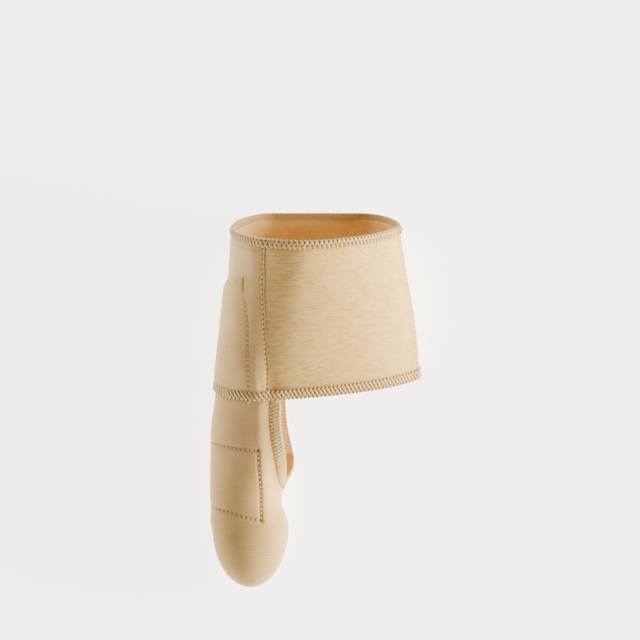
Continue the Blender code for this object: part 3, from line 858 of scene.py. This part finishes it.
def whipping(hem_points, ways, bold, pitch, span, lean, stand, half_width, half_height):
    """One row of overlock threads. span is where on the way round the hem's section each thread starts and
    ends, lean how many pitches it slants by on the way, stand how far off it stands half way, and bold the
    share of its height that each thread keeps."""
    share = evenly(THREAD_POINTS)[None, :]
    across, height = hem_corner(span[0] + (span[1] - span[0]) * share)
    height = height + stand * np.sin(np.pi * share)
    way = ways[:, None] + lean * pitch * (share - 0.5)
    centres = hem_points(way, across, height)
    beside = hem_points(way + WIDTH_STEP * pitch, across, height) - centres
    bold = bold[:, None, None, None]
    half_width = half_width * MM * (1 + PRESSED_WIDER * (1 - bold))
    return tubes(centres, beside, half_width, half_height * MM * bold)


def thread_ways(long, pitch, spare=0):
    """Ways along a hem of that length at which its threads lie, less the spare ones at each end."""
    count = round(long / pitch)
    return (np.arange(spare, count - spare) + 0.5) * long / count


def thread_rows(name, hem_points, ways, bold, pitch, rows, material):
    """All rows of threads on a hem, as one piece."""
    made = [whipping(hem_points, ways + shift * pitch, bold, pitch, *row) for shift, *row in rows]
    return thread_piece(name, made, material)


def pressed_share(turn):
    """The share of their height that a band hem's threads keep: they are pressed flat on the big-toe side and
    under the sole, and full over the instep and on the little-toe side."""
    full = smooth((turn - FULL_OVER_FROM) / FULL_FADE) + smooth((-turn - FULL_UNDER_FROM) / FULL_FADE)
    return PRESSED + (1 - PRESSED) * full


def band_hem(name, place, width, pitch, rows, core_material, thread_material):
    """A hem round the band: a pressed core with rows of slanted threads round it."""
    points_at = partial(band_hem_points, place, width)
    stations = np.linspace(-1.0, 1.0, HEM_STATIONS, endpoint=False)
    core = core_points(points_at, stations, HEM_SINK, HEM_FIT)
    faces = grid_faces(HEM_STATIONS, HEM_CORNERS, closed=True)
    base = piece(name + "_core", core, faces, core_material)
    turns = np.linspace(-1.0, 1.0, RUN_STATIONS)
    run = way_along(skin(turns, place(turns, width / 2)))

    def turn_along(way):
        return np.interp(way % run[-1], run, turns)

    def hem_points(way, across, height):
        return points_at(turn_along(way), across, height)

    ways = thread_ways(run[-1], pitch)
    bold = pressed_share(turn_along(ways))
    return base, thread_rows(name + "_threads", hem_points, ways, bold, pitch, rows, thread_material)


REAR_PITCH = 2.07 * MM
FRONT_PITCH = 1.84 * MM
MOUTH_PITCH = 1.7 * MM
MOUTH_STATIONS = 420
MOUTH_LINE_POINTS = 240
# For each row of threads: its shift along the hem in pitches, where on the way round the section a thread
# starts and ends, how many pitches it slants by, how far it stands off the section as a share of the hem's
# thickness, and half of its width and of its height in millimetres.
REAR_ROWS = (
    (0.0, (0.17, 0.60), -1.0, 0.00, 0.54, 0.34),
    (0.5, (0.14, 0.40), 0.9, 0.16, 0.34, 0.22),
    (0.5, (0.03, 0.19), 0.4, 0.00, 0.46, 0.26),
)
FRONT_ROWS = (
    (0.0, (0.10, 0.34), 0.9, 0.00, 0.52, 0.32),
    (0.5, (0.02, 0.14), -0.5, 0.00, 0.46, 0.26),
    (0.5, (0.30, 0.62), -0.6, 0.00, 0.54, 0.34),
)
MOUTH_ROWS = (
    (0.0, (0.00, 0.10), 0.3, 0.00, 0.50, 0.32),
    (0.5, (0.12, 0.34), -0.9, 0.00, 0.62, 0.10),
    (0.0, (0.32, 0.62), 0.4, 0.00, 0.70, 0.24),
)


def mouth_line():
    """turn and y of the sleeve's edge, from the band over the instep to the web and back under the sole."""
    along = evenly(MOUTH_LINE_POINTS)
    over_turn, over_y = sleeve_place(np.ones(1), along)
    under_turn, under_y = sleeve_place(-np.ones(1), along[-2::-1])
    return np.concatenate([over_turn, under_turn + 2.0]), np.concatenate([over_y, under_y])


def mouth_steps(turn, y):
    """The way off the sleeve's edge, square to it along the skin, as a turn and a y for each metre."""
    path = skin(turn, y)
    away = np.cross(outward(turn, y), unit(np.gradient(path, axis=0)))
    ways = np.stack([sample(ROUND, turn, y), sample(ALONG, turn, y)], axis=-1)
    step = np.linalg.pinv(ways) @ away[..., None]
    return step[:, 0, 0], step[:, 1, 0]


def sleeve_hem(core_material, thread_material):
    """The narrow hem round the sleeve's opening: dots of thread along its seam, finer ones over its fold."""
    turn, y = mouth_line()
    step_turn, step_y = mouth_steps(turn, y)
    run = way_along(skin(turn, y))

    def hem_points(way, across, height):
        way, across, height = np.broadcast_arrays(way, across, height)
        at = [np.interp(way, run, values) for values in (turn, y, step_turn, step_y)]
        out = (GAP + SLEEVE_HEM_WIDTH) * (1.0 - across) - INTO_HEM * across
        hem_turn = at[0] + at[2] * out
        hem_y = np.minimum(at[1] + at[3] * out, behind_front(hem_turn, -GAP))
        return lifted(hem_turn, hem_y, (SLEEVE_WALL + hem_rise(at[0], at[1])) * height)

    core = core_points(hem_points, np.linspace(0.0, run[-1], MOUTH_STATIONS), MOUTH_SINK, MOUTH_FIT)
    base = piece("sleeve_hem_core", core, strip_faces(MOUTH_STATIONS, HEM_CORNERS), core_material)
    ways = thread_ways(run[-1], MOUTH_PITCH, spare=1)
    row = (ways, np.ones(len(ways)), MOUTH_PITCH, MOUTH_ROWS)
    return base, thread_rows("sleeve_hem_threads", hem_points, *row, thread_material)


# Points of one stitch, the share of its pitch that it starts at, how far it rises half way, and half of its
# width and of its height
STITCH_POINTS = 7
STITCH_START = 0.16
STITCH_RISE = 0.14 * MM
STITCH_HALF_WIDTH = 0.24 * MM
STITCH_HALF_HEIGHT = 0.16 * MM


def seam_threads(name, lines, ground, material):
    """One thread from each needle hole to the next. ground gives the cloth's lift at a turn and a y."""
    share = np.linspace(STITCH_START, 1 - STITCH_START, STITCH_POINTS)[None, :]
    made = []
    for way, places, pitch, strength in lines:
        start, middle = np.array(places).T * MM
        first, last = math.ceil(start[0] / pitch), math.floor(start[-1] / pitch)
        along = (np.arange(first, last)[:, None] + share) * pitch
        across = np.interp(along, start, middle)
        reach, y = (across, along) if way == "along" else (along, across)
        turn = turn_at(reach, y)
        rise = STITCH_RISE * np.sin(np.pi * share) - strength * GROOVE_DEPTH
        centres = lifted(turn, y, ground(turn, y) + rise)
        beside = np.cross(np.gradient(centres, axis=1), outward(turn, y))
        made.append(tubes(centres, beside, STITCH_HALF_WIDTH, STITCH_HALF_HEIGHT))
    return thread_piece(name, made, material)


def linear(colour):
    """A colour from its sRGB hex code, in linear light."""
    parts = [int(colour[i : i + 2], 16) / 255 for i in (1, 3, 5)]
    return (*[part / 12.92 if part <= 0.04045 else ((part + 0.055) / 1.055) ** 2.4 for part in parts], 1.0)


def feed(node, inputs):
    """Fills a node's inputs by name or number, each with a value or another node's output."""
    for name, value in inputs.items():
        if isinstance(value, bpy.types.NodeSocket):
            node.id_data.links.new(value, node.inputs[name])
        else:
            node.inputs[name].default_value = value


def add(tree, kind, inputs=None, **settings):
    node = tree.nodes.new("ShaderNode" + kind)
    for name, value in settings.items():
        setattr(node, name, value)
    feed(node, inputs or {})
    return node


def weighed(tree, parts, start=0.0):
    """The sum of a start and of outputs, each times its weight, which may be an output too."""
    for output, weight in parts:
        values = {0: output, 1: weight, 2: start}
        start = add(tree, "Math", values, operation="MULTIPLY_ADD").outputs[0]
    return start


def blank(name, roughness, ior=1.5, sheen=0.0):
    """A material with its Principled shader: roughness and IOR as measured on such a surface."""
    material = bpy.data.materials.new(name)
    material.use_nodes = True
    shader = material.node_tree.nodes["Principled BSDF"]
    feed(shader, {"Roughness": roughness, "IOR": ior, "Sheen Weight": sheen, "Sheen Roughness": 0.5})
    return material, material.node_tree, shader


def surface(tree, shader, depth, light, dark, height, relief, strength=1.0):
    """Colours a surface from light to dark by depth, and gives it a relief of that height in metres."""
    tone = add(tree, "Mix", {0: depth, 6: light, 7: dark}, data_type="RGBA")
    bump = add(tree, "Bump", {"Height": height, "Distance": relief, "Strength": strength})
    feed(shader, {"Base Color": tone.outputs[2], "Normal": bump.outputs[0]})


# The knit's patterns on the flat cloth: length and width of a crinkle and the course, in millimetres, then
# how often grain, mottle and the wander of the courses change in a millimetre, and by how much they wander.
# A course is 0.45 mm. It is drawn at twice that, the finest that the picture's pixels can carry.
CRINKLE_LENGTH = 4.5
CRINKLE_WIDTH = 0.9
COURSE = 0.9
GRAIN = 2.2
MOTTLE = 0.07
WANDER = 0.12
WANDER_BY = 6.0
KNIT_RELIEF = 0.55 * MM
# Dark brown of the painted shade at stitches, creases and the slit
PAINTED_SHADE_BROWN = "#64431a"


def elastic_knit(name, colour, crease):
    """Warp-knitted polyamide and elastane. On the stretched cloth its courses draw up into wavy crinkles, and
    over the toe they show as fine ribs. Its hollows get painted shade in the crease colour, and its stitches,
    creases and slit painted shade in dark brown."""
    material, tree, shader = blank(name, 0.82, ior=1.53, sheen=0.06)
    cloth = add(tree, "Attribute", attribute_name="cloth").outputs["Vector"]
    marks = add(tree, "Attribute", attribute_name="marks").outputs["Vector"]
    crinkle_amount, rib_amount, painted_shade = add(tree, "SeparateXYZ", {"Vector": marks}).outputs
    along = add(tree, "SeparateXYZ", {"Vector": cloth}).outputs[1]
    scale = (1 / CRINKLE_LENGTH, 1 / CRINKLE_WIDTH, 1.0)
    flat = add(tree, "Mapping", {"Vector": cloth, "Scale": scale}).outputs[0]
    patterns = (
        {"Vector": flat, "Scale": 1.0, "Distortion": 1.0},
        {"Vector": cloth, "Scale": GRAIN, "Detail": 3.0, "Roughness": 0.6},
        {"Vector": cloth, "Scale": MOTTLE, "Detail": 3.0},
        {"Vector": cloth, "Scale": WANDER, "Detail": 1.0},
    )
    crinkle, grain, mottle, wander = [add(tree, "TexNoise", one).outputs[0] for one in patterns]
    phase = weighed(tree, ((along, 2 * math.pi / COURSE), (wander, WANDER_BY)))
    course = add(tree, "Math", {0: phase}, operation="SINE").outputs[0]
    crinkled = weighed(tree, ((weighed(tree, ((crinkle, 1.0),), -0.5), crinkle_amount),))
    ribbed = weighed(tree, ((course, weighed(tree, ((rib_amount, 0.05),), 0.012)),))
    height = weighed(tree, ((crinkled, 0.6), (ribbed, 1.0), (grain, 0.12)))
    # Painted shade: darker in the hollows of the crinkles and between the courses, by the same patterns as
    # the relief above. The mottle and the grain are the knit's own uneven tone.
    depth = weighed(tree, ((crinkled, -2.0), (mottle, 0.9), (grain, -1.3), (ribbed, -4.0)), 0.48)
    tone = add(tree, "Mix", {0: depth, 6: linear(colour), 7: linear(crease)}, data_type="RGBA")
    surface(tree, shader, painted_shade, tone.outputs[2], linear(PAINTED_SHADE_BROWN), height, KNIT_RELIEF)
    return material


def fibrous(finish, grain, relief, colour, crease):
    """A grain of that size all over, as a relief and as a shade."""
    material, tree, shader = finish
    place = add(tree, "TexCoord").outputs["Object"]
    fibres = add(tree, "TexNoise", {"Vector": place, "Scale": 1 / grain, "Detail": 3.0}).outputs[0]
    surface(tree, shader, fibres, linear(colour), linear(crease), fibres, relief, 0.8)
    return material


def overlock_thread(name, colour, crease):
    """Textured polyester yarn, bulked to cover the edge: curls of fibre half a millimetre across."""
    return fibrous(blank(name, 0.7, ior=1.57, sheen=0.2), 0.5 * MM, 0.15 * MM, colour, crease)


def pressed_knit(name, colour, crease):
    """The folded and pressed edge of the knit under the threads, in the colours given: darker ones are
    painted shade of the threads.
    """
    return fibrous(blank(name, 0.85, ior=1.53, sheen=0.15), 0.7 * MM, 0.2 * MM, colour, crease)


WARP_RIB = 1.1
WEFT_RIB = 0.9
WEAVE_RELIEF = 0.08 * MM


def woven_webbing(name, colour, crease):
    """Plain-woven cotton and elastane webbing: warp ribs 1.1 mm apart, crossed by a finer weft, as the
    product of two sines."""
    material, tree, shader = blank(name, 0.85, ior=1.53, sheen=0.15)
    cloth = add(tree, "Attribute", attribute_name="cloth").outputs["Vector"]
    places = add(tree, "SeparateXYZ", {"Vector": cloth}).outputs
    pitches = (WARP_RIB, WEFT_RIB)
    phases = [weighed(tree, ((place, 2 * math.pi / pitch),)) for place, pitch in zip(places, pitches)]
    warp, weft = [add(tree, "Math", {0: phase}, operation="SINE").outputs[0] for phase in phases]
    weave = weighed(tree, ((warp, weft),))
    # Painted shade: darker where the weave's relief is low
    depth = weighed(tree, ((weave, -0.35),), 0.4)
    surface(tree, shader, depth, linear(colour), linear(crease), weave, WEAVE_RELIEF)
    return material


def dress():
    """Every piece, on its node."""
    # Each knit's second colour is the painted shade of its hollows.
    knit = elastic_knit("band_elastic_knit", "#eec26c", "#cb9a4a")
    smooth_knit = elastic_knit("panel_smooth_knit", "#eabf76", "#cb9c54")
    sleeve_knit = elastic_knit("sleeve_smooth_knit", "#eabf74", "#cb9b52")
    thread = overlock_thread("overlock_thread", "#f4d48a", "#d2a658")
    # The band hems' core is coloured darker than the knit: painted shade in the gaps between its threads.
    core = pressed_knit("hem_core_painted_shade_knit", "#cea463", "#ab8145")
    fold = pressed_knit("sleeve_hem_pressed_knit", "#f0cc84", "#d4aa60")
    # The webbing's second colour is the painted shade of its weave's hollows.
    webbing = woven_webbing("strap_woven_webbing", "#e2bd84", "#b8905a")

    band = midfoot_band(knit)
    panel = pocket_panel(smooth_knit)
    strap = pull_strap(webbing)
    sleeve = toe_sleeve(sleeve_knit)
    top = band_hem("top_hem", ahead_of_rear, REAR_HEM_WIDTH, REAR_PITCH, REAR_ROWS, core, thread)
    bottom = band_hem("bottom_hem", behind_front, FRONT_HEM_WIDTH, FRONT_PITCH, FRONT_ROWS, core, thread)
    mouth = sleeve_hem(fold, thread)
    panel_thread = seam_threads("panel_stitches", PANEL_LINES, panel_top, thread)
    sleeve_thread = seam_threads("toe_box_stitches", SLEEVE_LINES, sleeve_top, thread)

    nodes = {
        "midfoot_band": (band,),
        "pocket_panel": (panel, panel_thread),
        "pull_strap": (strap,),
        "toe_sleeve": (sleeve, sleeve_thread),
        "band_top_hem": top,
        "band_bottom_hem": bottom,
        "sleeve_hem": mouth,
    }
    for node, pieces in nodes.items():
        for made in pieces:
            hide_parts(node)
            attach(made, "root")


CAMERA_ELEVATION = 82.0
CAMERA_DISTANCE = 1.0
CAMERA_TARGET = (0.0018, -0.017, 0.025)
LENS = 121.5
SENSOR = 36.0


def camera():
    """A long lens, nearly above."""
    angle = math.radians(CAMERA_ELEVATION)
    lens = bpy.data.cameras.new("camera")
    lens.lens = LENS
    lens.sensor_width = SENSOR
    eye = bpy.data.objects.new("camera", lens)
    x, y, z = CAMERA_TARGET
    eye.location = (x, y - CAMERA_DISTANCE * math.cos(angle), z + CAMERA_DISTANCE * math.sin(angle))
    eye.rotation_euler = (math.pi / 2 - angle, 0.0, 0.0)
    bpy.context.scene.collection.objects.link(eye)
    bpy.context.scene.camera = eye


LAMP_AIM = (0.0, -0.03, 0.03)


def lamp(name, place, size, power, colour):
    """A soft square lamp, turned to LAMP_AIM."""
    light = bpy.data.lights.new(name, "AREA")
    light.size = size
    light.energy = power
    light.color = linear(colour)[:3]
    holder = bpy.data.objects.new(name, light)
    holder.location = place
    x, y, z = np.array(place) - LAMP_AIM
    holder.rotation_euler = (math.atan2(math.hypot(x, y), z), 0.0, math.atan2(x, -y))
    bpy.context.scene.collection.objects.link(holder)


FLOOR_SIZE = 6.0
FLOOR_BELOW = 0.0018
FLOOR_GLOW = 4.0
SKY_GLOW = 0.34


def studio():
    """A plain pale floor that glows a little, as a light table does, with a strong soft lamp at the right and
    a weak one at the left."""
    material, _, shader = blank("pale_floor", 0.9)
    glow = {"Emission Color": linear("#fbfaf8"), "Emission Strength": FLOOR_GLOW}
    feed(shader, {"Base Color": linear("#f4f3f1"), **glow})
    half = FLOOR_SIZE / 2
    corners = np.array([(-half, -half), (half, -half), (half, half), (-half, half)])
    points = np.column_stack([corners, np.full(4, -FLOOR_BELOW)])
    floor = piece("floor", points, np.array([[0, 1, 2, 3]]), material)
    lamp("key", (0.88, -0.06, 0.22), 0.36, 30.0, "#fff6e4")
    lamp("fill", (-0.80, -0.20, 0.20), 0.6, 2.4, "#fff6ea")
    world = bpy.data.worlds.new("studio")
    world.use_nodes = True
    feed(world.node_tree.nodes["Background"], {"Color": linear("#f5f5f5"), "Strength": SKY_GLOW})
    bpy.context.scene.world = world


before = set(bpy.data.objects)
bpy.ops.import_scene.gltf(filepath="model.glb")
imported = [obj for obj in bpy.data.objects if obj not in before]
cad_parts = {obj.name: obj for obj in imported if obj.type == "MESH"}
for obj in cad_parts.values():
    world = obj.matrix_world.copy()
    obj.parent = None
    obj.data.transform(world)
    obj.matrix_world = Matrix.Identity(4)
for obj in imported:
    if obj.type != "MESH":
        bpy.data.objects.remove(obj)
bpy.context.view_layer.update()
camera()
studio()
dress()
